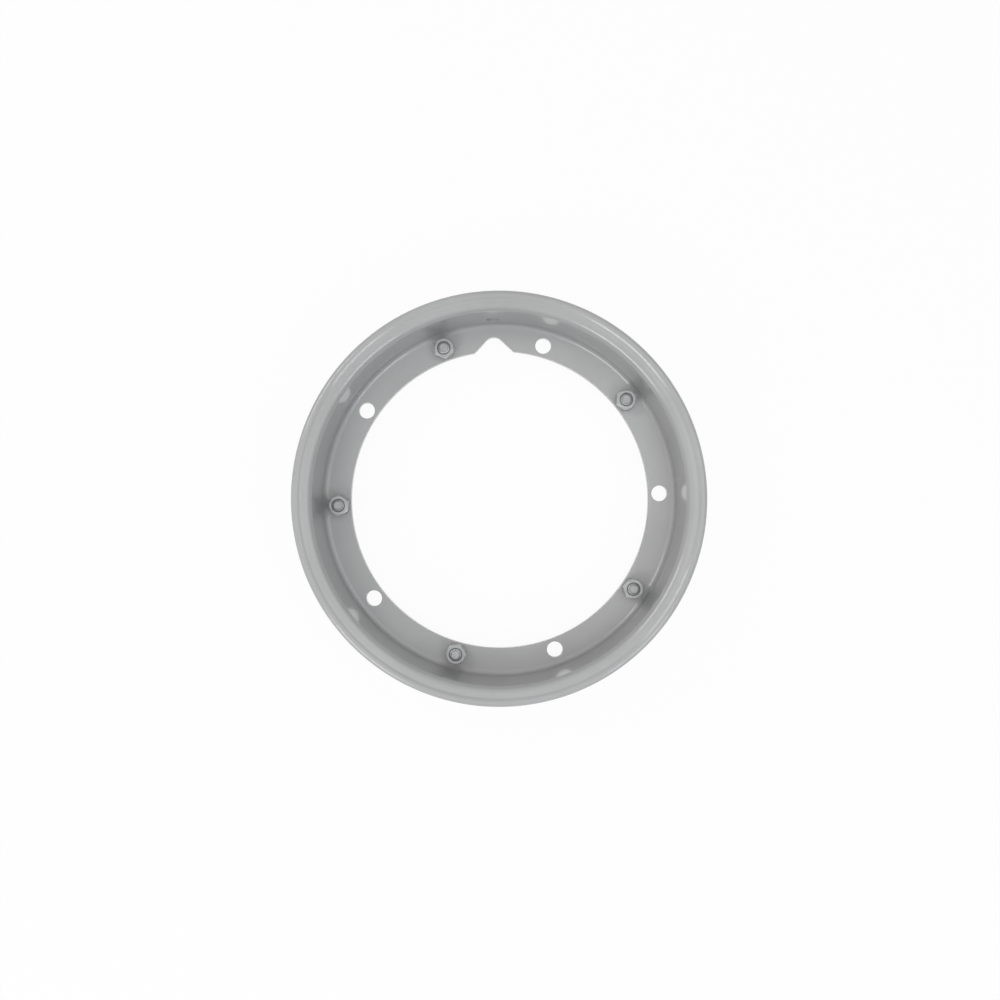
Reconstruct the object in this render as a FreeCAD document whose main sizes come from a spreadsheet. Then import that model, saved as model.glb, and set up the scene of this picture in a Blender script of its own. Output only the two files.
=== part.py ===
import FreeCAD
import Part
import Sketcher
import math
import os
import re
from FreeCAD import Placement, Rotation, Vector

# Two-piece pressed-steel scooter wheel rim, lying on its shallow half with the nuts upward.
# The wheel axis is Z, the valve notch points along +Y, lengths are mm and angles degrees.
SIZES = {
    # sheet section, shared by both halves
    "sheet_thickness": 2.8,
    "flange_width": 15.9,
    "web_width": 18.85,
    "wall_draft": 5.0,
    "web_bend": 4.0,
    "corner_bend": 5.0,
    "land_fall": 1.0,
    "lip_bend": 1.5,
    "lip_slope": 35.0,
    "lip_rise": 1.2,
    "lip_roll": 3.1,
    "lip_return": 0.3,
    "rim_diameter": 276.0,
    "lip_round": 0.6,
    # split plane to the top of the deep half's flange land, and tyre width between the flanges
    "deep_reach": 39.6,
    "rim_width": 53.3,
    # holes in the web
    "bolt_inset": 7.75,
    "hub_hole": 11.0,
    "stud_fit": 0.1,
    "edge_break": 0.4,
    # valve notch and valve hole
    "notch_depth": 9.7,
    "notch_round": 7.0,
    "notch_angle": 90.0,
    "notch_corner": 1.5,
    "valve_hole": 8.5,
    "valve_height": 14.8,
    # clamp studs, spring washers and nuts
    "stud_diameter": 8.0,
    "stud_tip": 5.7,
    "stud_proud": 1.8,
    "head_diameter": 14.0,
    "head_height": 3.5,
    "head_bevel": 1.0,
    "washer_outer": 14.4,
    "washer_height": 2.0,
    "washer_slit": 1.4,
    "slit_lean": 25.0,
    "nut_flats": 13.0,
    "nut_height": 6.5,
    "nut_chamfer": 30.0,
    "nut_sink": 0.6,
}
# Where each fastener stands on the bolt circle, and how far its nut and washer happen to be turned.
STATIONS = {
    36: (24.6, 200.0),
    108: (35.3, 75.0),
    180: (23.8, 310.0),
    252: (59.4, 140.0),
    324: (46.3, 25.0),
}
# Hub holes and studs stand this far to either side of the notch.
HUB_HOLE_BACK = 18.0
COUNT = len(STATIONS)
# Radii that follow from the sheet, from the rim inward.
FOOT = "(rim_diameter / 2 - flange_width)"
BORE = "(rim_diameter / 2 - flange_width - web_width)"
BOLT_RING = "(rim_diameter / 2 - flange_width - web_width + bolt_inset)"

doc = FreeCAD.newDocument("split_rim")
sheet = doc.addObject("Spreadsheet::Sheet", "Sizes")
for row, (alias, value) in enumerate(SIZES.items(), start=1):
    sheet.set(f"A{row}", alias.replace("_", " "))
    sheet.set(f"B{row}", str(value))
    sheet.setAlias(f"B{row}", alias)
doc.recompute()


def sized(expression):
    """Spell an expression of sheet aliases so that another object can bind to it."""
    def name(word):
        return f"Sizes.{word[0]}" if word[0] in SIZES else word[0]

    return re.sub("[a-z_]+", name, expression)


def size(expression):
    """Work out an expression of sheet aliases as a plain number."""
    return float(sheet.evalExpression(expression))


def origin_part(body, role):
    """Return one of a body's own origin planes or axes."""
    return next(item for item in body.Origin.OriginFeatures if item.Role == role)


def new_body(label):
    """Add an empty body with the given label."""
    body = doc.addObject("PartDesign::Body", label)
    body.Label = label
    return body


def new_sketch(body, name, role):
    """Add a sketch on one of the body's origin planes."""
    sketch = body.newObject("Sketcher::SketchObject", f"{body.Name}_{name}")
    sketch.AttachmentSupport = [(origin_part(body, role), "")]
    sketch.MapMode = "FlatFace"
    return sketch


def new_feature(body, kind, name, **settings):
    """Add a part design feature, set its plain properties and make it the tip."""
    feature = body.newObject(f"PartDesign::{kind}", f"{body.Name}_{name}")
    for key, value in settings.items():
        setattr(feature, key, value)
    body.Tip = feature
    doc.recompute()
    return feature


def dimension(sketch, kind, name, places, expression):
    """Add a named driving dimension and bind it to the sheet."""
    value = size(expression)
    if kind == "Angle":
        value = math.radians(value)
    index = sketch.addConstraint(Sketcher.Constraint(kind, *places, value))
    sketch.renameConstraint(index, name)
    sketch.setExpression(f"Constraints.{name}", sized(expression))


def add_line(sketch, start, end):
    """Add a line; the result names the edge and its first and last points."""
    points = (Vector(*start, 0), Vector(*end, 0))
    return sketch.addGeometry(Part.LineSegment(*points), False), 1, 2


def add_arc(sketch, centre, start, end, turns_left):
    """Add an arc; a sketch keeps arcs turning left, so the ends swap for a right turn."""
    first, last = (start, end) if turns_left else (end, start)
    angles = [math.atan2(y - centre[1], x - centre[0]) for x, y in (first, last)]
    circle = Part.Circle(Vector(*centre, 0), Vector(0, 0, 1), math.dist(centre, start))
    index = sketch.addGeometry(Part.ArcOfCircle(circle, *angles), False)
    return (index, 1, 2) if turns_left else (index, 2, 1)


def add_circle(sketch, centre, radius):
    """Add a full circle."""
    circle = Part.Circle(Vector(*centre, 0), Vector(0, 0, 1), radius)
    return sketch.addGeometry(circle, False)


def join(sketch, kind, first, second):
    """Join the end of one edge to the start of the next."""
    places = (first[0], first[2], second[0], second[1])
    sketch.addConstraint(Sketcher.Constraint(kind, *places))


def along(point, angle, length):
    """Step from a point at an angle in degrees."""
    turn = math.radians(angle)
    return point[0] + length * math.cos(turn), point[1] + length * math.sin(turn)


def meet(first, first_angle, second, second_angle):
    """Find where two lines cross, each given by a point and an angle."""
    ux, uy = along((0, 0), first_angle, 1)
    vx, vy = along((0, 0), second_angle, 1)
    dx, dy = second[0] - first[0], second[1] - first[1]
    return along(first, first_angle, (dx * vy - dy * vx) / (ux * vy - uy * vx))


def section_runs(reach):
    """List the sheet's straight runs as (point on the seen face, angle), and the lip edge's middle."""
    draft, fall, slope = size("90 - wall_draft"), -size("land_fall"), size("lip_slope")
    thick, web_bend, corner = size("sheet_thickness"), size("web_bend"), size("corner_bend")
    foot = (size(FOOT), thick + web_bend * (1 - math.cos(math.radians(draft))))
    centre_height = reach - corner * math.cos(math.radians(fall))
    touch_height = centre_height + corner * math.cos(math.radians(draft))
    touch = meet(foot, draft, (0, touch_height), 0)
    centre = along(touch, draft - 90, corner)
    land = along(centre, fall + 90, corner)
    runs = [((size(BORE), thick), 0), (foot, draft), (land, fall)]
    roll = size("lip_roll")
    crest = (size("rim_diameter / 2 - lip_roll"), reach + size("lip_rise - lip_roll"))
    runs.append((along(crest, slope + 90, roll), slope))
    runs.append((along(crest, 0, roll), -90))
    edge = along(runs[-1][0], -90, size("lip_return + lip_round"))
    return runs, along(edge, 180, thick / 2)


def bent_run(runs, bends, last):
    """Give the tangent points and bend centres along a chain of straight runs."""
    pieces = []
    for (p, a), (q, b), radius in zip(runs, runs[1:], bends):
        corner = meet(p, a, q, b)
        reach = abs(radius * math.tan(math.radians(b - a) / 2))
        side = 90 if b > a else -90
        start = along(corner, a, -reach)
        pieces.append((start, along(start, a + side, radius), along(corner, b, reach), b > a))
    return runs[0][0], pieces, last


def draw_face(sketch, first, pieces, last):
    """Draw one face of the bent sheet as tangent lines and arcs."""
    edges = []
    here = first
    for start, centre, end, turns_left in pieces:
        edges.append(add_line(sketch, here, start))
        edges.append(add_arc(sketch, centre, start, end, turns_left))
        here = end
    edges.append(add_line(sketch, here, last))
    for before, after in zip(edges, edges[1:]):
        join(sketch, "Tangent", before, after)
    return edges


def draw_section(body, reach_rule):
    """Sketch the sheet's section, every bend concentric on both faces, and tie it to the sheet."""
    sketch = new_sketch(body, "section", "XZ_Plane")
    thick, rounding = size("sheet_thickness"), size("lip_round")
    runs, middle = section_runs(size(reach_rule))
    bends = [size("web_bend"), size("corner_bend"), size("lip_bend"), size("lip_roll")]
    back_bends = [bend + turn * thick for bend, turn in zip(bends, (1, -1, 1, -1))]
    back_runs = [(along(point, angle - 90, thick), angle) for point, angle in runs]
    seen_chain = bent_run(runs + [(middle, -180)], bends + [rounding], middle)
    back_chain = bent_run(back_runs + [(middle, 0)], back_bends + [rounding], middle)
    seen, back = draw_face(sketch, *seen_chain), draw_face(sketch, *back_chain)
    web, web_arc, wall, corner_arc, land, lip_arc, rise, roll_arc, tail, tip_arc, tip = \
        [edge[0] for edge in seen]
    back_web, _, _, _, back_land, _, back_rise, _, back_tail, back_tip_arc, back_tip = \
        [edge[0] for edge in back]
    bore_line = add_line(sketch, (runs[0][0][0], 0), runs[0][0])
    sketch.addConstraint(Sketcher.Constraint("Coincident", bore_line[0], 1, back_web, 1))
    sketch.addConstraint(Sketcher.Constraint("Coincident", bore_line[0], 2, web, 1))
    sketch.addConstraint(Sketcher.Constraint("Coincident", tip, 2, back_tip, 2))
    sketch.addConstraint(Sketcher.Constraint("Equal", tip, back_tip))
    for place in (1, 3, 5, 7):
        ends = (seen[place][0], 3, back[place][0], 3)
        sketch.addConstraint(Sketcher.Constraint("Coincident", *ends))
    sketch.addConstraint(Sketcher.Constraint("Horizontal", web))
    sketch.addConstraint(Sketcher.Constraint("Horizontal", back_web))
    sketch.addConstraint(Sketcher.Constraint("PointOnObject", back_web, 1, -1))
    sketch.addConstraint(Sketcher.Constraint("Vertical", bore_line[0]))
    sketch.addConstraint(Sketcher.Constraint("Parallel", land, back_land))
    sketch.addConstraint(Sketcher.Constraint("Parallel", rise, back_rise))
    for edge in (tail, back_tail):
        sketch.addConstraint(Sketcher.Constraint("Vertical", edge))
    for edge in (tip, back_tip):
        sketch.addConstraint(Sketcher.Constraint("Horizontal", edge))
    dimension(sketch, "DistanceY", "Sheet", (bore_line[0], 1, bore_line[0], 2), "sheet_thickness")
    dimension(sketch, "Distance", "LipSheet", (back_tail, 2, tail), "sheet_thickness")
    dimension(sketch, "DistanceX", "Bore", (-1, 1, bore_line[0], 1), BORE)
    dimension(sketch, "DistanceX", "Foot", (-1, 1, wall, 1), FOOT)
    dimension(sketch, "DistanceY", "Reach", (-1, 1, land, 1), reach_rule)
    dimension(sketch, "Distance", "Return", (tail,), "lip_return")
    dimension(sketch, "DistanceX", "Rim", (-1, 1, roll_arc, 3), "rim_diameter / 2 - lip_roll")
    dimension(sketch, "DistanceY", "Rise", (roll_arc, 3, land, 1), "lip_roll - lip_rise")
    dimension(sketch, "Angle", "Draft", (wall,), "90 - wall_draft")
    dimension(sketch, "Angle", "Fall", (land,), "0 - land_fall")
    dimension(sketch, "Angle", "Slope", (rise,), "lip_slope")
    dimension(sketch, "Radius", "WebBend", (web_arc,), "web_bend")
    dimension(sketch, "Radius", "CornerBend", (corner_arc,), "corner_bend")
    dimension(sketch, "Radius", "LipBend", (lip_arc,), "lip_bend")
    dimension(sketch, "Radius", "LipRoll", (roll_arc,), "lip_roll")
    dimension(sketch, "Radius", "LipRound", (tip_arc,), "lip_round")
    dimension(sketch, "Radius", "BackRound", (back_tip_arc,), "lip_round")
    return sketch


def web_face(shape):
    """Find the flat seen face of the web, which holds the bore and the holes."""
    level = size("sheet_thickness")
    flats = [face for face in shape.Faces if isinstance(face.Surface, Part.Plane)]
    return max((f for f in flats if abs(f.CenterOfMass.z - level) < 0.001), key=lambda f: f.Area)


def edge_names(shape, wanted):
    """Name the edges of a shape for which the test holds."""
    return [f"Edge{n}" for n, edge in enumerate(shape.Edges, start=1) if wanted(edge)]


def ring_radius(edge):
    """Radius of an edge that circles the wheel axis, or zero for any other edge."""
    curve = edge.Curve
    if not isinstance(curve, Part.Circle):
        return 0.0
    return curve.Radius if math.hypot(curve.Center.x, curve.Center.y) < 0.001 else 0.0


def drill(body, name, diameter_rule, start_angle):
    """Punch a ring of holes through the web on the bolt circle."""
    sketch = new_sketch(body, name, "XY_Plane")
    place = along((0, 0), start_angle, size(BOLT_RING))
    hole = add_circle(sketch, place, size(diameter_rule) / 2)
    spoke = add_line(sketch, (0, 0), place)[0]
    sketch.toggleConstruction(spoke)
    sketch.addConstraint(Sketcher.Constraint("Coincident", spoke, 1, -1, 1))
    sketch.addConstraint(Sketcher.Constraint("Coincident", spoke, 2, hole, 3))
    sketch.addConstraint(Sketcher.Constraint("Angle", spoke, math.radians(start_angle)))
    dimension(sketch, "Distance", "Circle", (spoke,), BOLT_RING)
    dimension(sketch, "Diameter", "Hole", (hole,), diameter_rule)
    pocket = new_feature(body, "Pocket", f"{name}_cut", Profile=sketch, Type=1, Reversed=True)
    axis = (sketch, ["N_Axis"])
    new_feature(body, "PolarPattern", f"{name}_ring", Originals=[pocket], Axis=axis, Angle=360,
                Occurrences=COUNT)


def cut_notch(body):
    """Cut the rounded V of the valve notch into the edge of the bore, on the Y side."""
    sketch = new_sketch(body, "notch", "XY_Plane")
    half, radius = size("notch_angle / 2"), size("notch_round")
    centre = (0, size(BORE + " + notch_depth - notch_round"))
    right, left = along(centre, half, radius), along(centre, 180 - half, radius)
    run = radius + size("notch_depth")
    right_end, left_end = along(right, half - 90, run), along(left, 270 - half, run)
    edges = [
        add_line(sketch, right_end, right),
        add_arc(sketch, centre, right, left, True),
        add_line(sketch, left, left_end),
        add_line(sketch, left_end, right_end),
    ]
    kinds = ("Tangent", "Tangent", "Coincident", "Coincident")
    for kind, before, after in zip(kinds, edges, edges[1:] + edges[:1]):
        join(sketch, kind, before, after)
    right_line, apex, left_line, mouth = [edge[0] for edge in edges]
    sketch.addConstraint(Sketcher.Constraint("PointOnObject", apex, 3, -2))
    sketch.addConstraint(Sketcher.Constraint("Horizontal", mouth))
    dimension(sketch, "Angle", "RightFlank", (right_line,), "90 + notch_angle / 2")
    dimension(sketch, "Angle", "LeftFlank", (left_line,), "0 - 90 - notch_angle / 2")
    dimension(sketch, "Radius", "Round", (apex,), "notch_round")
    rule = BORE + " + notch_depth - notch_round"
    dimension(sketch, "DistanceY", "Apex", (-1, 1, apex, 3), rule)
    dimension(sketch, "Distance", "Run", (right_line,), "notch_round + notch_depth")
    notch = new_feature(body, "Pocket", "notch_cut", Profile=sketch, Type=1, Reversed=True)
    bore = size(BORE)

    def mouth_edge(edge):
        start, end = (vertex.Point for vertex in (edge.Vertexes[0], edge.Vertexes[-1]))
        upright = math.hypot(end.x - start.x, end.y - start.y) < 0.001
        return upright and start.y > 0 and abs(math.hypot(start.x, start.y) - bore) < 0.01 \
            and abs(start.x) > 1

    corners = edge_names(notch.Shape, mouth_edge)
    fillet = new_feature(body, "Fillet", "notch_corners", Base=(notch, corners))
    fillet.setExpression("Radius", sized("notch_corner"))
    doc.recompute()


def break_edges(body):
    """Take the sharp edge off the bore, the notch and the hub holes on the seen face."""
    base = body.Tip
    face = web_face(base.Shape)
    holes = [wire for wire in face.Wires if not wire.isSame(face.OuterWire)]
    bore = max(holes, key=lambda wire: wire.Length)
    names = edge_names(base.Shape, lambda edge: any(edge.isSame(other) for other in bore.Edges))
    bore_break = new_feature(body, "Chamfer", "bore_break", Base=(base, names))
    bore_break.setExpression("Size", sized("edge_break"))
    doc.recompute()
    hole, level = size("hub_hole / 2"), size("sheet_thickness")

    def hole_edge(edge):
        curve = edge.Curve
        return isinstance(curve, Part.Circle) and abs(curve.Radius - hole) < 0.001 \
            and abs(curve.Center.z - level) < 0.001

    names = edge_names(bore_break.Shape, hole_edge)
    broken = new_feature(body, "Chamfer", "hole_break", Base=(bore_break, names))
    broken.setExpression("Size", sized("edge_break"))
    doc.recompute()


def press_half(label, reach_rule, hand):
    """Build one pressed half with its web on the XY plane; hand is -1 for the one turned over."""
    body = new_body(label)
    section = draw_section(body, reach_rule)
    axis = (section, ["V_Axis"])
    new_feature(body, "Revolution", "pressing", Profile=section, ReferenceAxis=axis)
    drill(body, "hub_holes", "hub_hole", 90 - hand * HUB_HOLE_BACK)
    drill(body, "stud_holes", "stud_diameter + 2 * stud_fit", 90 + hand * HUB_HOLE_BACK)
    cut_notch(body)
    break_edges(body)
    return body


def cut_valve_hole(body):
    """Drill the valve hole through the wall on the notch side."""
    sketch = new_sketch(body, "valve", "XZ_Plane")
    hole = add_circle(sketch, (0, size("valve_height")), size("valve_hole / 2"))
    sketch.addConstraint(Sketcher.Constraint("PointOnObject", hole, 3, -2))
    dimension(sketch, "DistanceY", "Height", (-1, 1, hole, 3), "valve_height")
    dimension(sketch, "Diameter", "Hole", (hole,), "valve_hole")
    new_feature(body, "Pocket", "valve_cut", Profile=sketch, Type=1)


def draw_loop(sketch, points):
    """Draw a closed outline of lines, keeping its level and upright edges so."""
    edges = [add_line(sketch, p, q) for p, q in zip(points, points[1:] + points[:1])]
    for before, after in zip(edges, edges[1:] + edges[:1]):
        join(sketch, "Coincident", before, after)
    for edge, p, q in zip(edges, points, points[1:] + points[:1]):
        if abs(p[1] - q[1]) < 1e-9:
            sketch.addConstraint(Sketcher.Constraint("Horizontal", edge[0]))
        elif abs(p[0] - q[0]) < 1e-9:
            sketch.addConstraint(Sketcher.Constraint("Vertical", edge[0]))
    return [edge[0] for edge in edges]


def make_stud():
    """Turn a stud with a low round head, its origin where its axis meets the split plane."""
    body = new_body("stud_pattern")
    sketch = new_sketch(body, "profile", "XZ_Plane")
    tip_rule = "sheet_thickness + washer_height + nut_height + stud_proud"
    seat, low = -size("sheet_thickness"), -size("sheet_thickness + head_height")
    shank, tip, head = size("stud_diameter / 2"), size("stud_tip / 2"), size("head_diameter / 2")
    top = size(tip_rule)
    points = [(0, low), (head, low), (head, seat), (shank, seat), (shank, top - shank + tip),
              (tip, top), (0, top)]
    base, rim, under, side, bevel, end, middle = draw_loop(sketch, points)
    sketch.addConstraint(Sketcher.Constraint("PointOnObject", base, 1, -2))
    dimension(sketch, "DistanceX", "Head", (-1, 1, rim, 1), "head_diameter / 2")
    dimension(sketch, "DistanceX", "Shank", (-1, 1, side, 1), "stud_diameter / 2")
    dimension(sketch, "DistanceX", "Tip", (-1, 1, end, 1), "stud_tip / 2")
    dimension(sketch, "DistanceY", "Seat", (side, 1, -1, 1), "sheet_thickness")
    dimension(sketch, "DistanceY", "HeadHeight", (rim, 1, rim, 2), "head_height")
    dimension(sketch, "DistanceY", "Top", (-1, 1, end, 1), tip_rule)
    dimension(sketch, "Angle", "Bevel", (bevel,), "135")
    turned = new_feature(body, "Revolution", "turned", Profile=sketch,
                         ReferenceAxis=(sketch, ["V_Axis"]))
    names = edge_names(turned.Shape, lambda edge: abs(ring_radius(edge) - head) < 0.001
                       and edge.Curve.Center.z < seat - 0.001)
    bevelled = new_feature(body, "Chamfer", "head_bevel", Base=(turned, names))
    bevelled.setExpression("Size", sized("head_bevel"))
    return body


def make_washer():
    """Make a clamped split spring washer standing on its own origin, slit on the Y side."""
    body = new_body("washer_pattern")
    ring = new_sketch(body, "ring", "XY_Plane")
    for name, rule in (("Outer", "washer_outer"), ("Inner", "stud_diameter + 2 * stud_fit")):
        circle = add_circle(ring, (0, 0), size(rule) / 2)
        ring.addConstraint(Sketcher.Constraint("Coincident", circle, 3, -1, 1))
        dimension(ring, "Diameter", name, (circle,), rule)
    pad = new_feature(body, "Pad", "ring_pad", Profile=ring)
    pad.setExpression("Length", sized("washer_height"))
    doc.recompute()
    slit = new_sketch(body, "slit", "XZ_Plane")
    wide, tall = size("washer_slit"), size("washer_height")
    lean = tall * math.tan(math.radians(size("slit_lean")))
    base, side, top, back = draw_loop(slit, [(0, 0), (wide, 0), (wide + lean, tall), (lean, tall)])
    slit.addConstraint(Sketcher.Constraint("Coincident", base, 1, -1, 1))
    slit.addConstraint(Sketcher.Constraint("Parallel", side, back))
    dimension(slit, "DistanceX", "Width", (base, 1, base, 2), "washer_slit")
    dimension(slit, "DistanceY", "Height", (side, 1, side, 2), "washer_height")
    dimension(slit, "Angle", "Lean", (side,), "90 - slit_lean")
    new_feature(body, "Pocket", "slit_cut", Profile=slit, Type=1)
    return body


def make_nut():
    """Make a hexagon nut standing on its own origin, one corner on the X axis."""
    body = new_body("nut_pattern")
    hexagon = new_sketch(body, "hexagon", "XY_Plane")
    corner = size("nut_flats") / math.sqrt(3)
    sides = draw_loop(hexagon, [along((0, 0), 60 * n, corner) for n in range(6)])
    circle = add_circle(hexagon, (0, 0), corner)
    hexagon.toggleConstruction(circle)
    hexagon.addConstraint(Sketcher.Constraint("Coincident", circle, 3, -1, 1))
    for side in sides:
        hexagon.addConstraint(Sketcher.Constraint("PointOnObject", side, 1, circle))
    for side in (sides[0], sides[2], sides[4], sides[5]):
        hexagon.addConstraint(Sketcher.Constraint("Equal", sides[1], side))
    dimension(hexagon, "DistanceY", "Flats", (sides[4], 1, sides[1], 1), "nut_flats")
    pad = new_feature(body, "Pad", "hexagon_pad", Profile=hexagon)
    pad.setExpression("Length", sized("nut_height"))
    doc.recompute()
    bevels = new_sketch(body, "bevels", "XZ_Plane")
    inner, outer = size("nut_flats * 0.475"), size("nut_flats * 0.65")
    drop = (outer - inner) * math.tan(math.radians(size("nut_chamfer")))
    tall = size("nut_height")
    for name, level, turn in (("Top", tall, -1), ("Low", 0, 1)):
        points = [(inner, level), (outer, level), (outer, level + turn * drop)]
        flat, edge, slope = draw_loop(bevels, points)
        dimension(bevels, "DistanceX", f"{name}Inner", (-1, 1, flat, 1), "nut_flats * 0.475")
        dimension(bevels, "DistanceX", f"{name}Outer", (-1, 1, flat, 2), "nut_flats * 0.65")
        dimension(bevels, "Angle", f"{name}Slope", (slope,), f"0 - {turn} * (180 - nut_chamfer)")
        if level:
            dimension(bevels, "DistanceY", f"{name}Level", (-1, 1, flat, 1), "nut_height")
        else:
            bevels.addConstraint(Sketcher.Constraint("PointOnObject", flat, 1, -1))
    new_feature(body, "Groove", "bevel_groove", Profile=bevels, ReferenceAxis=(bevels, ["V_Axis"]))
    bore = new_sketch(body, "bore", "XY_Plane")
    hole = add_circle(bore, (0, 0), size("stud_diameter / 2 + stud_fit"))
    bore.addConstraint(Sketcher.Constraint("Coincident", hole, 3, -1, 1))
    dimension(bore, "Diameter", "Hole", (hole,), "stud_diameter + 2 * stud_fit")
    cut = new_feature(body, "Pocket", "bore_cut", Profile=bore, Type=1, Reversed=True)
    wanted = size("stud_diameter / 2 + stud_fit")
    names = edge_names(cut.Shape, lambda edge: abs(ring_radius(edge) - wanted) < 0.001)
    sink = new_feature(body, "Chamfer", "bore_sink", Base=(cut, names))
    sink.setExpression("Size", sized("nut_sink"))
    doc.recompute()
    return body


def set_out(label, pattern, height_rule, turns):
    """Stand a copy of a fastener at each station on the bolt circle and group the copies."""
    copies = []
    for station, turn in zip(STATIONS, turns):
        copy = doc.addObject("App::Link", f"{label}_{station}")
        copy.LinkedObject = pattern
        copy.Placement = Placement(Vector(), Rotation(Vector(0, 0, 1), turn))
        places = {
            "x": f"{BOLT_RING} * cos({station} deg)",
            "y": f"{BOLT_RING} * sin({station} deg)",
            "z": height_rule,
        }
        for axis, rule in places.items():
            copy.setExpression(f"Placement.Base.{axis}", sized(rule))
        copies.append(copy)
    group = doc.addObject("Part::Compound", label)
    group.Label = label
    group.Links = copies
    return group


deep = press_half("deep_rim_half", "deep_reach", 1)
cut_valve_hole(deep)
shallow = press_half("shallow_rim_half", "rim_width + 2 * sheet_thickness - deep_reach", -1)
shallow.Placement = Placement(Vector(), Rotation(Vector(0, 1, 0), 180))
nut_turns = [turns[0] for turns in STATIONS.values()]
washer_turns = [turns[1] for turns in STATIONS.values()]
nodes = [
    deep,
    shallow,
    set_out("studs", make_stud(), "0", [1] * COUNT),
    set_out("spring_washers", make_washer(), "sheet_thickness", washer_turns),
    set_out("nuts", make_nut(), "sheet_thickness + washer_height", nut_turns),
]
doc.recompute()

for item in doc.Objects:
    if "Invalid" in item.State or "Error" in item.State:
        raise RuntimeError(f"{item.Label} did not recompute")
os.makedirs("parts", exist_ok=True)
for node in nodes:
    if node.Shape.isNull() or not node.Shape.isValid():
        raise RuntimeError(f"{node.Label} has no valid shape")
    node.Shape.exportStep(os.path.join("parts", f"{node.Label}.step"))
    print(node.Label, len(node.Shape.Solids), "solids", round(node.Shape.Volume), "mm3")
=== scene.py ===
import math
import bpy
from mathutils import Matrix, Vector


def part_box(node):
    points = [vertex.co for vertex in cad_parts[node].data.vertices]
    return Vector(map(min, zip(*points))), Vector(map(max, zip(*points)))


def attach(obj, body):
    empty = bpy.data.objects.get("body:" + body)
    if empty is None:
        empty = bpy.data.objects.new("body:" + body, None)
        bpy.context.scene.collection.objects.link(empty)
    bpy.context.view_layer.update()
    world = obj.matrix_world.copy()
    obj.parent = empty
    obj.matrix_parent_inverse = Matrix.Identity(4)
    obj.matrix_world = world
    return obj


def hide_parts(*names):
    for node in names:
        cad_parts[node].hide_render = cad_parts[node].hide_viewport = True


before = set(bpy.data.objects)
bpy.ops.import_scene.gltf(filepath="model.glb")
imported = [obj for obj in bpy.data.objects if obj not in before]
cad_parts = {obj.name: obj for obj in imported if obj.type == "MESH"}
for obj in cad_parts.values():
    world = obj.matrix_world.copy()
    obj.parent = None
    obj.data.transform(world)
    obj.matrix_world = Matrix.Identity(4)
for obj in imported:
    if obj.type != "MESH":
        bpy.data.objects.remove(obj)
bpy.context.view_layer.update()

# Sizes in millimetres and degrees, the same as the CAD's.
# The wheel axis is Z and the notch points along +Y.
MM = 0.001
SHEET = 2.8
BORE = 103.25
FOOT = 122.1
DRAFT = 5.0
WEB_BEND = 4.0
CORNER_BEND = 5.0
LAND_FALL = 1.0
LIP_BEND = 1.5
LIP_SLOPE = 35.0
LIP_RISE = 1.2
LIP_ROLL = 3.1
LIP_RETURN = 0.3
RIM = 138.0
LIP_ROUND = 0.6
RIM_WIDTH = 53.3
DEEP_REACH = 39.6
SHALLOW_REACH = RIM_WIDTH + 2 * SHEET - DEEP_REACH
BOLT_RING = 111.0
HOLE_COUNT = 5
HUB_HOLE = 5.5
STUD_HOLE = 4.1
STUD_RADIUS = 4.0
STUD_TIP = 2.6
STUD_TOP = 13.1
STUD_HEAD = 7.0
STUD_HEAD_HEIGHT = 3.5
STUD_HEAD_ROUND = 1.0
THREAD_PITCH = 1.25
THREAD_DEPTH = 0.7
THREAD_LENGTH = 4.2
THREAD_LAYERS = 20
# The steepness of the thread's ridge, the width of its root, and its reach into the shank.
RIDGE_SLOPE = 1.7
RIDGE_ROOT = 0.35
THREAD_OVERLAP = 0.5
# Bolt ring angle of each stud, and how far it happens to be screwed round.
STUD_TURNS = {36: 10.0, 108: 95.0, 180: 200.0, 252: 300.0, 324: 150.0}
NOTCH_DEPTH = 9.7
NOTCH_ROUND = 7.0
NOTCH_CORNER = 1.5
NOTCH_SLOPE = 45
VALVE_HOLE = 4.25
VALVE_HEIGHT = 14.8
VALVE_PUNCH_REACH = 8.0
EDGE_BREAK = 0.4
# How finely round shapes are divided: steps round a piece, and degrees along an arc.
STEPS = 288
HOLE_STEPS = 64
NOTCH_STEPS = 16
CORNER_STEPS = 6
STUD_STEPS = 48
VALVE_SIDES = 72
BEND_STEP = 7.5
EDGE_STEP = 20
HEAD_STEP = 18
RIDGE_STEP = 10
# Points closer than this, in metres, are one, and edges sharper than this angle stay sharp.
MERGE = 1e-6
SHARP_ANGLE = 30
# How much too small the bore is before it is punched, and how far a cutter passes the sheet.
PUNCH_STOCK = 3.0
OVERSHOOT = 1.0
# Colours of the paint and the plating, and the noise heights between which they blend.
PAINT_DARK = (0.366, 0.368, 0.369)
PAINT_LIGHT = (0.394, 0.396, 0.398)
ZINC_DARK = (0.34, 0.35, 0.352)
ZINC_LIGHT = (0.42, 0.43, 0.432)
BLEND_LOW = 0.35
BLEND_HIGH = 0.65
# The floor's width in metres and grey, and how much of its whiteness is its own and never shaded.
FLOOR_WIDTH = 12
FLOOR_GREY = (0.75, 0.75, 0.75)
FLOOR_WHITE = 0.95
# Sky brightness at the horizon and overhead, and the height on a unit sphere where it rises.
SKY_LOW = 0.24
SKY_HIGH = 1.5
SKY_START = 0.65
# Each lamp's direction and elevation in degrees, width in metres, power in watts and colour.
LAMP_DISTANCE = 1.3
LAMPS = {
    "lower_left_box": (226, 42, 0.50, 3.8, (1.0, 1.0, 1.0)),
    "upper_left_box": (146, 45, 0.40, 2.6, (1.0, 0.99, 0.95)),
    "lower_right_box": (312, 46, 0.40, 2.4, (0.88, 0.94, 1.0)),
    "right_fill": (15, 62, 0.80, 1.6, (1.0, 1.0, 1.0)),
}
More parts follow.
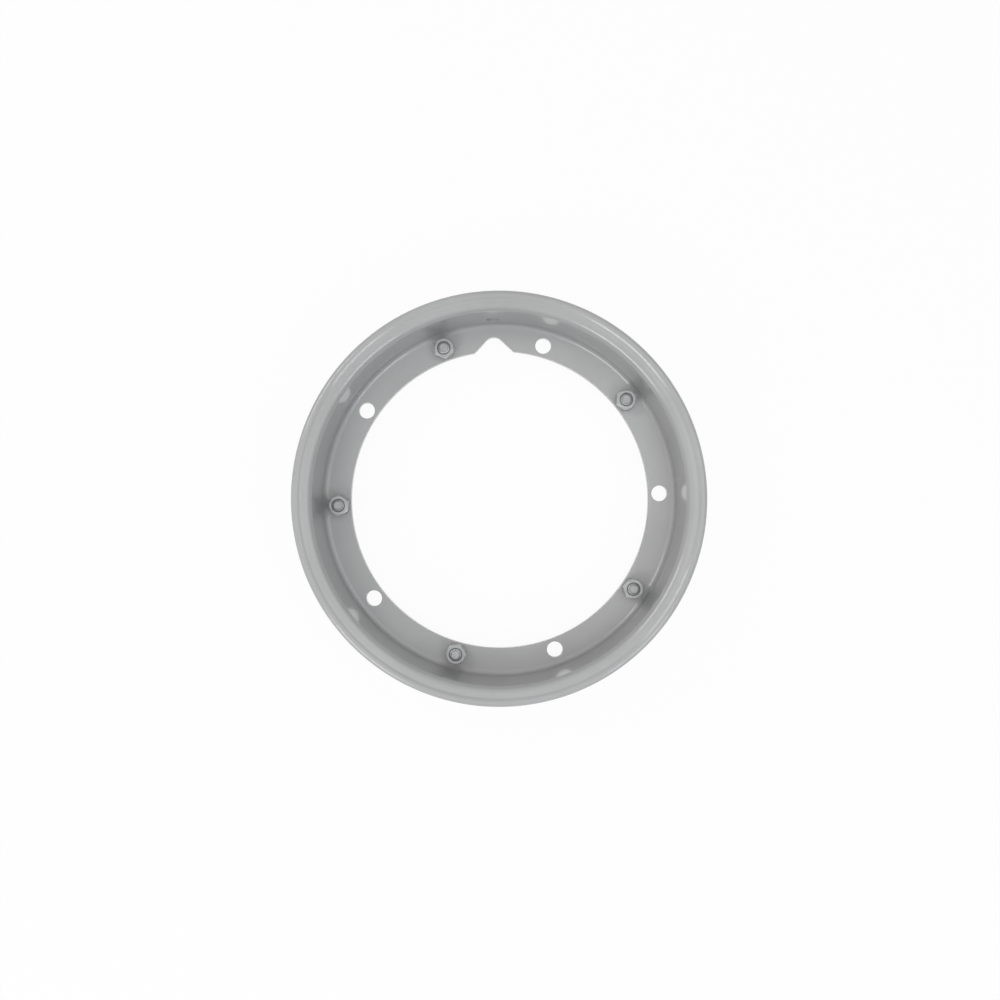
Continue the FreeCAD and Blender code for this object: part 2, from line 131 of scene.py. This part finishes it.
# The camera looks straight down: its place in metres, its turn in degrees and its lens.
CAMERA_SIDE = 0.00786
CAMERA_DOWN = 0.0106
CAMERA_HEIGHT = 0.7608
CAMERA_ROLL = -2.2
LENS = 39.27
SENSOR = 36.0
SHIFT_X = -0.01096
SHIFT_Y = 0.01475


def along(point, angle, length):
    """Step from a point at an angle in degrees."""
    turn = math.radians(angle)
    return point[0] + length * math.cos(turn), point[1] + length * math.sin(turn)


def meet(first, first_angle, second, second_angle):
    """Find where two lines cross, each given by a point and an angle."""
    ux, uy = along((0, 0), first_angle, 1)
    vx, vy = along((0, 0), second_angle, 1)
    dx, dy = second[0] - first[0], second[1] - first[1]
    return along(first, first_angle, (dx * vy - dy * vx) / (ux * vy - uy * vx))


def arc_points(centre, radius, start, end, step=BEND_STEP):
    """Points on an arc between two angles in degrees, both ends included."""
    count = max(2, math.ceil(abs(end - start) / step))
    return [along(centre, start + (end - start) * n / count, radius) for n in range(count + 1)]


def bent_points(runs, bends):
    """Follow straight runs of sheet joined by round bends; each run is (point, angle)."""
    points = []
    for (p, a), (q, b), radius in zip(runs, runs[1:], bends):
        corner = meet(p, a, q, b)
        side = 90 if b > a else -90
        start = along(corner, a, -abs(radius * math.tan(math.radians(b - a) / 2)))
        centre = along(start, a + side, radius)
        points += arc_points(centre, radius, a - side, b - side)
    return points


def section(reach):
    """Outline of a half's sheet as (radius, height) points, the split plane at height 0."""
    draft = 90 - DRAFT
    foot = (FOOT, SHEET + WEB_BEND * (1 - math.cos(math.radians(draft))))
    level = reach - CORNER_BEND * math.cos(math.radians(LAND_FALL))
    touch = meet(foot, draft, (0, level + CORNER_BEND * math.cos(math.radians(draft))), 0)
    land = along(along(touch, draft - 90, CORNER_BEND), 90 - LAND_FALL, CORNER_BEND)
    crest = (RIM - LIP_ROLL, reach + LIP_RISE - LIP_ROLL)
    rise, tail = along(crest, LIP_SLOPE + 90, LIP_ROLL), along(crest, 0, LIP_ROLL)
    middle = along(along(tail, -90, LIP_RETURN + LIP_ROUND), 180, SHEET / 2)
    inner = BORE - PUNCH_STOCK
    runs = [((inner, SHEET), 0), (foot, draft), (land, -LAND_FALL), (rise, LIP_SLOPE), (tail, -90)]
    back = [(along(point, angle - 90, SHEET), angle) for point, angle in runs]
    bends = [WEB_BEND, CORNER_BEND, LIP_BEND, LIP_ROLL]
    back_bends = [bend + turn * SHEET for bend, turn in zip(bends, (1, -1, 1, -1))]
    seen = bent_points(runs + [(middle, -180)], bends + [LIP_ROUND])
    rear = bent_points(back + [(middle, 0)], back_bends + [LIP_ROUND])
    return [(inner, 0), (inner, SHEET)] + seen + rear[::-1]


def add_chain(name, points):
    """Draw a chain of edges by extruding one vertex from point to point, and leave it selected."""
    bpy.ops.object.select_all(action="DESELECT")
    bpy.ops.mesh.primitive_plane_add(size=MM)
    piece = bpy.context.object
    piece.name = name
    bpy.ops.object.mode_set(mode="EDIT")
    bpy.ops.mesh.select_mode(type="VERT")
    bpy.ops.mesh.select_all(action="SELECT")
    bpy.ops.mesh.merge(type="CENTER")
    bpy.ops.transform.translate(value=[c * MM for c in points[0]])
    for before, after in zip(points, points[1:]):
        step = [(b - a) * MM for a, b in zip(before, after)]
        bpy.ops.mesh.extrude_region_move(TRANSFORM_OT_translate={"value": step})
    bpy.ops.mesh.select_all(action="SELECT")
    bpy.ops.mesh.remove_doubles(threshold=MERGE)
    return piece


def swing(centre, degrees, steps):
    """Sweep the selected edges anticlockwise about an upright axis."""
    # The operator counts its angle the other way.
    bpy.ops.mesh.spin(steps=steps, angle=-math.radians(degrees), axis=(0, 0, 1),
                      center=(centre[0] * MM, centre[1] * MM, 0))


def slide(angle, length):
    """Sweep the selected edges along a level straight line."""
    x, y = along((0, 0), angle, length * MM)
    bpy.ops.mesh.extrude_region_move(TRANSFORM_OT_translate={"value": (x, y, 0)})


def close_piece():
    """Merge the seams of a swept piece, cap its open ends and leave edit mode."""
    bpy.ops.mesh.select_all(action="SELECT")
    bpy.ops.mesh.remove_doubles(threshold=MERGE)
    bpy.ops.mesh.fill_holes(sides=0)
    bpy.ops.mesh.select_all(action="SELECT")
    bpy.ops.mesh.normals_make_consistent(inside=False)
    bpy.ops.object.mode_set(mode="OBJECT")


def lathe(name, outline, steps=STEPS):
    """Turn a closed (radius, height) outline round the wheel axis."""
    piece = add_chain(name, [(r, 0, z) for r, z in outline + outline[:1]])
    swing((0, 0), 360, steps)
    close_piece()
    return piece


def rod(name, radius, reach, sides):
    """A plain cylinder along the wheel axis, reaching as far up as down."""
    bpy.ops.object.select_all(action="DESELECT")
    bpy.ops.mesh.primitive_cylinder_add(vertices=sides, radius=radius * MM, depth=2 * reach * MM)
    piece = bpy.context.object
    piece.name = name
    return piece


def apply_modifier(piece, kind, **settings):
    """Add one modifier, set it up and apply it."""
    bpy.ops.object.select_all(action="DESELECT")
    bpy.context.view_layer.objects.active = piece
    piece.select_set(True)
    modifier = piece.modifiers.new(kind.lower(), kind)
    for key, value in settings.items():
        setattr(modifier, key, value)
    bpy.ops.object.modifier_apply(modifier=modifier.name)


def combine(piece, tool, operation):
    """Cut, trim or join a piece with a tool piece, then throw the tool away."""
    apply_modifier(piece, "BOOLEAN", object=tool, operation=operation, solver="EXACT")
    bpy.data.objects.remove(tool, do_unlink=True)


def join_pieces(pieces):
    """Make several pieces one object, the first of them."""
    bpy.ops.object.select_all(action="DESELECT")
    for piece in pieces:
        piece.select_set(True)
    bpy.context.view_layer.objects.active = pieces[0]
    bpy.ops.object.join()
    return pieces[0]


def punched_edge(hand):
    """Section of a punched edge as (offset, height), straight and then rounded at the seen face."""
    arc = arc_points((EDGE_BREAK, SHEET - EDGE_BREAK), EDGE_BREAK, 180, 100, EDGE_STEP)
    points = [(0, -OVERSHOOT)] + arc + [(arc[-1][0], SHEET + OVERSHOOT)]
    return [(offset, hand * z) for offset, z in points]


def hole_punch(radius, angle, hand):
    """A round cutter on the bolt ring that leaves a rounded edge."""
    x, y = along((0, 0), angle, BOLT_RING)
    edge = [(x + radius + offset, y, z) for offset, z in punched_edge(hand)]
    punch = add_chain("hole_punch", edge)
    swing((x, y), 360, HOLE_STEPS)
    close_piece()
    return punch


def bore_punch(hand):
    """A cutter for the bore and its valve notch, swept round both as one edge."""
    apex = (0, BORE + NOTCH_DEPTH - NOTCH_ROUND)
    flank = along(apex, NOTCH_SLOPE, NOTCH_ROUND + NOTCH_CORNER)
    ux, uy = along((0, 0), -NOTCH_SLOPE, 1)
    lean = flank[0] * ux + flank[1] * uy
    run = -lean - math.sqrt(lean ** 2 - math.hypot(*flank) ** 2 + (BORE + NOTCH_CORNER) ** 2)
    corner = along(flank, -NOTCH_SLOPE, run)
    turn = math.degrees(math.atan2(corner[1], corner[0]))
    edge = [(*along((0, 0), turn, BORE + offset), z) for offset, z in punched_edge(hand)]
    punch = add_chain("bore_punch", edge)
    swing((0, 0), -180 - 2 * turn, STEPS)
    swing((-corner[0], corner[1]), turn - NOTCH_SLOPE, CORNER_STEPS)
    slide(NOTCH_SLOPE, run)
    swing(apex, -2 * NOTCH_SLOPE, NOTCH_STEPS)
    slide(-NOTCH_SLOPE, run)
    swing(corner, turn - NOTCH_SLOPE, CORNER_STEPS)
    close_piece()
    return punch


def valve_punch():
    """A cutter lying along +Y through the wall behind the notch."""
    punch = rod("valve_punch", VALVE_HOLE, VALVE_PUNCH_REACH, VALVE_SIDES)
    bpy.ops.object.mode_set(mode="EDIT")
    bpy.ops.mesh.select_all(action="SELECT")
    bpy.ops.transform.rotate(value=math.radians(90), orient_axis="X", center_override=(0, 0, 0))
    bpy.ops.transform.translate(value=(0, (FOOT + SHEET / 2) * MM, VALVE_HEIGHT * MM))
    bpy.ops.object.mode_set(mode="OBJECT")
    return punch


def finish_piece(piece, node):
    """Smooth a finished piece and let it stand for its CAD node."""
    bpy.ops.object.select_all(action="DESELECT")
    bpy.context.view_layer.objects.active = piece
    piece.select_set(True)
    bpy.ops.object.shade_smooth_by_angle(angle=math.radians(SHARP_ANGLE))
    apply_modifier(piece, "WEIGHTED_NORMAL", keep_sharp=True)
    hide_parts(node)
    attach(piece, "root")


def rim_half(node, reach, hand):
    """Press one half; hand is -1 for the half that is turned over."""
    outline = [(r, hand * z) for r, z in section(reach)]
    piece = lathe(f"{node}_pressing", outline)
    punches = [bore_punch(hand)]
    spacing = 360 / HOLE_COUNT
    for n in range(HOLE_COUNT):
        punches.append(hole_punch(HUB_HOLE, spacing * n, hand))
        punches.append(hole_punch(STUD_HOLE, spacing * (n + 0.5), hand))
    if hand > 0:
        punches.append(valve_punch())
    combine(piece, join_pieces(punches), "DIFFERENCE")
    finish_piece(piece, node)
    return piece


def thread_outline():
    """Cross-section of the thread: one ridge going once round the stud."""
    ridge = []
    for degrees in range(0, 360, RIDGE_STEP):
        rise = min(1.0, max(0.0, RIDGE_SLOPE * abs(1 - degrees / 180) - RIDGE_ROOT))
        ridge.append(along((0, 0), degrees, STUD_RADIUS - THREAD_DEPTH * (1 - rise)))
    return ridge


def threaded_end():
    """Wind the thread upward, a thin layer at a time, and trim it to the stud's pointed tip."""
    base = STUD_TOP - THREAD_LENGTH
    outline = thread_outline()
    piece = add_chain("stud_thread", [(x, y, base) for x, y in outline + outline[:1]])
    bpy.ops.mesh.edge_face_add()
    layer = THREAD_PITCH / THREAD_LAYERS
    for _ in range(math.ceil((THREAD_LENGTH + THREAD_OVERLAP) / layer)):
        step = (0, 0, layer * MM)
        bpy.ops.mesh.extrude_region_move(TRANSFORM_OT_translate={"value": step})
        bpy.ops.transform.rotate(value=-math.radians(360 / THREAD_LAYERS), orient_axis="Z",
                                 center_override=(0, 0, 0))
    close_piece()
    shoulder = STUD_TOP - STUD_RADIUS + STUD_TIP
    low, wide = base - OVERSHOOT, STUD_RADIUS + OVERSHOOT
    outline = [(0, low), (wide, low), (wide, shoulder - OVERSHOOT),
               (STUD_TIP, STUD_TOP), (0, STUD_TOP)]
    combine(piece, lathe("stud_envelope", outline, STUD_STEPS), "INTERSECT")
    return piece


def stud():
    """One clamp stud on the wheel axis: low round head, shank and threaded end."""
    low = -SHEET - STUD_HEAD_HEIGHT
    corner = (STUD_HEAD - STUD_HEAD_ROUND, low + STUD_HEAD_ROUND)
    top = STUD_TOP - THREAD_LENGTH + THREAD_OVERLAP
    head = [(0, low)] + arc_points(corner, STUD_HEAD_ROUND, -90, 0, HEAD_STEP)
    shank = [(STUD_HEAD, -SHEET), (STUD_RADIUS, -SHEET), (STUD_RADIUS, top), (0, top)]
    piece = lathe("stud", head + shank, STUD_STEPS)
    combine(piece, threaded_end(), "UNION")
    return piece


def set_out_studs():
    """Copy the stud to every place on the bolt ring and join the copies."""
    pattern = stud()
    copies = []
    for angle, turn in STUD_TURNS.items():
        bpy.ops.object.select_all(action="DESELECT")
        pattern.select_set(True)
        bpy.context.view_layer.objects.active = pattern
        bpy.ops.object.duplicate(linked=False)
        x, y = along((0, 0), angle, BOLT_RING * MM)
        bpy.ops.object.mode_set(mode="EDIT")
        bpy.ops.mesh.select_all(action="SELECT")
        bpy.ops.transform.rotate(value=math.radians(turn), orient_axis="Z",
                                 center_override=(0, 0, 0))
        bpy.ops.transform.translate(value=(x, y, 0))
        bpy.ops.object.mode_set(mode="OBJECT")
        copies.append(bpy.context.object)
    bpy.data.objects.remove(pattern, do_unlink=True)
    piece = join_pieces(copies)
    piece.name = "threaded_studs"
    finish_piece(piece, "studs")
    return piece


def new_material(name):
    """A node material with a principled shader."""
    material = bpy.data.materials.new(name)
    material.use_nodes = True
    nodes, links = material.node_tree.nodes, material.node_tree.links
    return material, nodes, links, nodes["Principled BSDF"]


def set_sockets(shader, values):
    """Set a shader's own sockets to uniform values."""
    for name, value in values.items():
        shader.inputs[name].default_value = value


def noise(nodes, links, scale, detail=3.0):
    """A noise texture on Object coordinates."""
    coords, texture = nodes.new("ShaderNodeTexCoord"), nodes.new("ShaderNodeTexNoise")
    set_sockets(texture, {"Scale": scale, "Detail": detail})
    links.new(coords.outputs["Object"], texture.inputs["Vector"])
    return texture.outputs["Fac"]


def blend_colour(nodes, links, factor, low, high):
    """Spread a noise between two colours."""
    ramp = nodes.new("ShaderNodeValToRGB")
    ramp.color_ramp.elements[0].position = BLEND_LOW
    ramp.color_ramp.elements[1].position = BLEND_HIGH
    ramp.color_ramp.elements[0].color = (*low, 1)
    ramp.color_ramp.elements[1].color = (*high, 1)
    links.new(factor, ramp.inputs["Fac"])
    return ramp.outputs["Color"]


def add_bump(nodes, links, shader, height, strength, distance):
    """Roughen a shader's surface with a height pattern."""
    bump = nodes.new("ShaderNodeBump")
    set_sockets(bump, {"Strength": strength, "Distance": distance})
    links.new(height, bump.inputs["Height"])
    links.new(bump.outputs["Normal"], shader.inputs["Normal"])
    return bump


def rim_paint():
    """Silver-grey gloss paint with a faint orange peel."""
    material, nodes, links, shader = new_material("silver_paint")
    tone = noise(nodes, links, scale=18.0)
    colour = blend_colour(nodes, links, tone, PAINT_DARK, PAINT_LIGHT)
    links.new(colour, shader.inputs["Base Color"])
    set_sockets(shader, {"Metallic": 0.05, "Roughness": 0.45, "Specular IOR Level": 0.2,
                         "Coat Weight": 1.0, "Coat Roughness": 0.12})
    peel = noise(nodes, links, scale=420.0, detail=2.0)
    bump = add_bump(nodes, links, shader, peel, strength=0.10, distance=0.0004)
    links.new(bump.outputs["Normal"], shader.inputs["Coat Normal"])
    return material


def zinc():
    """Dull zinc plating on the fasteners."""
    material, nodes, links, shader = new_material("zinc_plate")
    tone = noise(nodes, links, scale=260.0)
    colour = blend_colour(nodes, links, tone, ZINC_DARK, ZINC_LIGHT)
    links.new(colour, shader.inputs["Base Color"])
    set_sockets(shader, {"Metallic": 0.55, "Roughness": 0.45})
    grain = noise(nodes, links, scale=1500.0, detail=2.0)
    add_bump(nodes, links, shader, grain, strength=0.15, distance=0.0001)
    return material


def fill_slots(piece, material):
    """Put a material in every slot of a piece, which gets a slot if it has none."""
    if not piece.material_slots:
        piece.data.materials.append(material)
    for place in piece.material_slots:
        place.material = material


def seen_directly(nodes, links):
    """1 where the camera sees a surface itself, or in a reflection or through glass."""
    path = nodes.new("ShaderNodeLightPath")
    seen = path.outputs["Is Camera Ray"]
    for ray in ("Is Glossy Ray", "Is Transmission Ray"):
        either = nodes.new("ShaderNodeMath")
        either.operation = "MAXIMUM"
        links.new(seen, either.inputs[0])
        links.new(path.outputs[ray], either.inputs[1])
        seen = either.outputs["Value"]
    return seen


def floor_material():
    """A white floor that keeps a faint shadow of the rim."""
    material, nodes, links, shader = new_material("studio_floor")
    glow = nodes.new("ShaderNodeEmission")
    set_sockets(shader, {"Base Color": (*FLOOR_GREY, 1), "Roughness": 0.9})
    set_sockets(glow, {"Color": (1, 1, 1, 1), "Strength": 1.0})
    share = nodes.new("ShaderNodeMath")
    share.operation = "MULTIPLY"
    share.inputs[1].default_value = FLOOR_WHITE
    links.new(seen_directly(nodes, links), share.inputs[0])
    mix = nodes.new("ShaderNodeMixShader")
    links.new(share.outputs["Value"], mix.inputs["Fac"])
    links.new(shader.outputs["BSDF"], mix.inputs[1])
    links.new(glow.outputs["Emission"], mix.inputs[2])
    links.new(mix.outputs["Shader"], nodes["Material Output"].inputs["Surface"])
    return material


def studio_sky():
    """A plain white world whose light comes mostly from overhead."""
    world = bpy.data.worlds.new("studio")
    bpy.context.scene.world = world
    world.use_nodes = True
    nodes, links = world.node_tree.nodes, world.node_tree.links
    sky, white = nodes["Background"], nodes.new("ShaderNodeBackground")
    coords, split = nodes.new("ShaderNodeTexCoord"), nodes.new("ShaderNodeSeparateXYZ")
    height = nodes.new("ShaderNodeMapRange")
    set_sockets(height, {"From Min": SKY_START, "To Min": SKY_LOW, "To Max": SKY_HIGH})
    links.new(coords.outputs["Generated"], split.inputs["Vector"])
    links.new(split.outputs["Z"], height.inputs["Value"])
    links.new(height.outputs["Result"], sky.inputs["Strength"])
    for background in (sky, white):
        set_sockets(background, {"Color": (1, 1, 1, 1)})
    mix = nodes.new("ShaderNodeMixShader")
    links.new(seen_directly(nodes, links), mix.inputs["Fac"])
    links.new(sky.outputs["Background"], mix.inputs[1])
    links.new(white.outputs["Background"], mix.inputs[2])
    links.new(mix.outputs["Shader"], nodes["World Output"].inputs["Surface"])


def soft_box(name, angle, elevation, width, power, colour):
    """A square lamp aimed at the rim, placed by its direction as the picture shows it."""
    data = bpy.data.lights.new(name, "AREA")
    data.size = width
    data.energy = power
    data.color = colour
    lamp = bpy.data.objects.new(name, data)
    bpy.context.collection.objects.link(lamp)
    turn, rise = math.radians(angle), math.radians(elevation)
    level = LAMP_DISTANCE * math.cos(rise)
    lamp.location = (level * math.cos(turn), level * math.sin(turn), LAMP_DISTANCE * math.sin(rise))
    lamp.rotation_euler = (math.radians(90) - rise, 0, turn + math.radians(90))


def overhead_camera():
    """A camera above the rim, turned a little about the wheel axis."""
    roll = math.radians(CAMERA_ROLL)
    lens_data = bpy.data.cameras.new("camera")
    lens_data.lens = LENS
    lens_data.sensor_width = SENSOR
    lens_data.shift_x = SHIFT_X
    lens_data.shift_y = SHIFT_Y
    camera = bpy.data.objects.new("camera", lens_data)
    bpy.context.collection.objects.link(camera)
    camera.location = (CAMERA_SIDE * math.cos(roll) + CAMERA_DOWN * math.sin(roll),
                       CAMERA_SIDE * math.sin(roll) - CAMERA_DOWN * math.cos(roll), CAMERA_HEIGHT)
    camera.rotation_euler = (0, 0, roll)
    bpy.context.scene.camera = camera


paint, plate = rim_paint(), zinc()
fill_slots(rim_half("deep_rim_half", DEEP_REACH, 1), paint)
fill_slots(rim_half("shallow_rim_half", SHALLOW_REACH, -1), paint)
fill_slots(set_out_studs(), plate)
for name in ("spring_washers", "nuts"):
    fill_slots(bpy.data.objects[name], plate)

# Floor, lights, world and camera.
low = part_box("shallow_rim_half")[0]
bpy.ops.object.select_all(action="DESELECT")
bpy.ops.mesh.primitive_plane_add(size=FLOOR_WIDTH, location=(0, 0, low[2]))
floor = bpy.context.object
floor.name = "studio_floor"
floor.data.materials.append(floor_material())

for name, setting in LAMPS.items():
    soft_box(name, *setting)
studio_sky()
overhead_camera()
bpy.context.scene.view_settings.view_transform = "Standard"
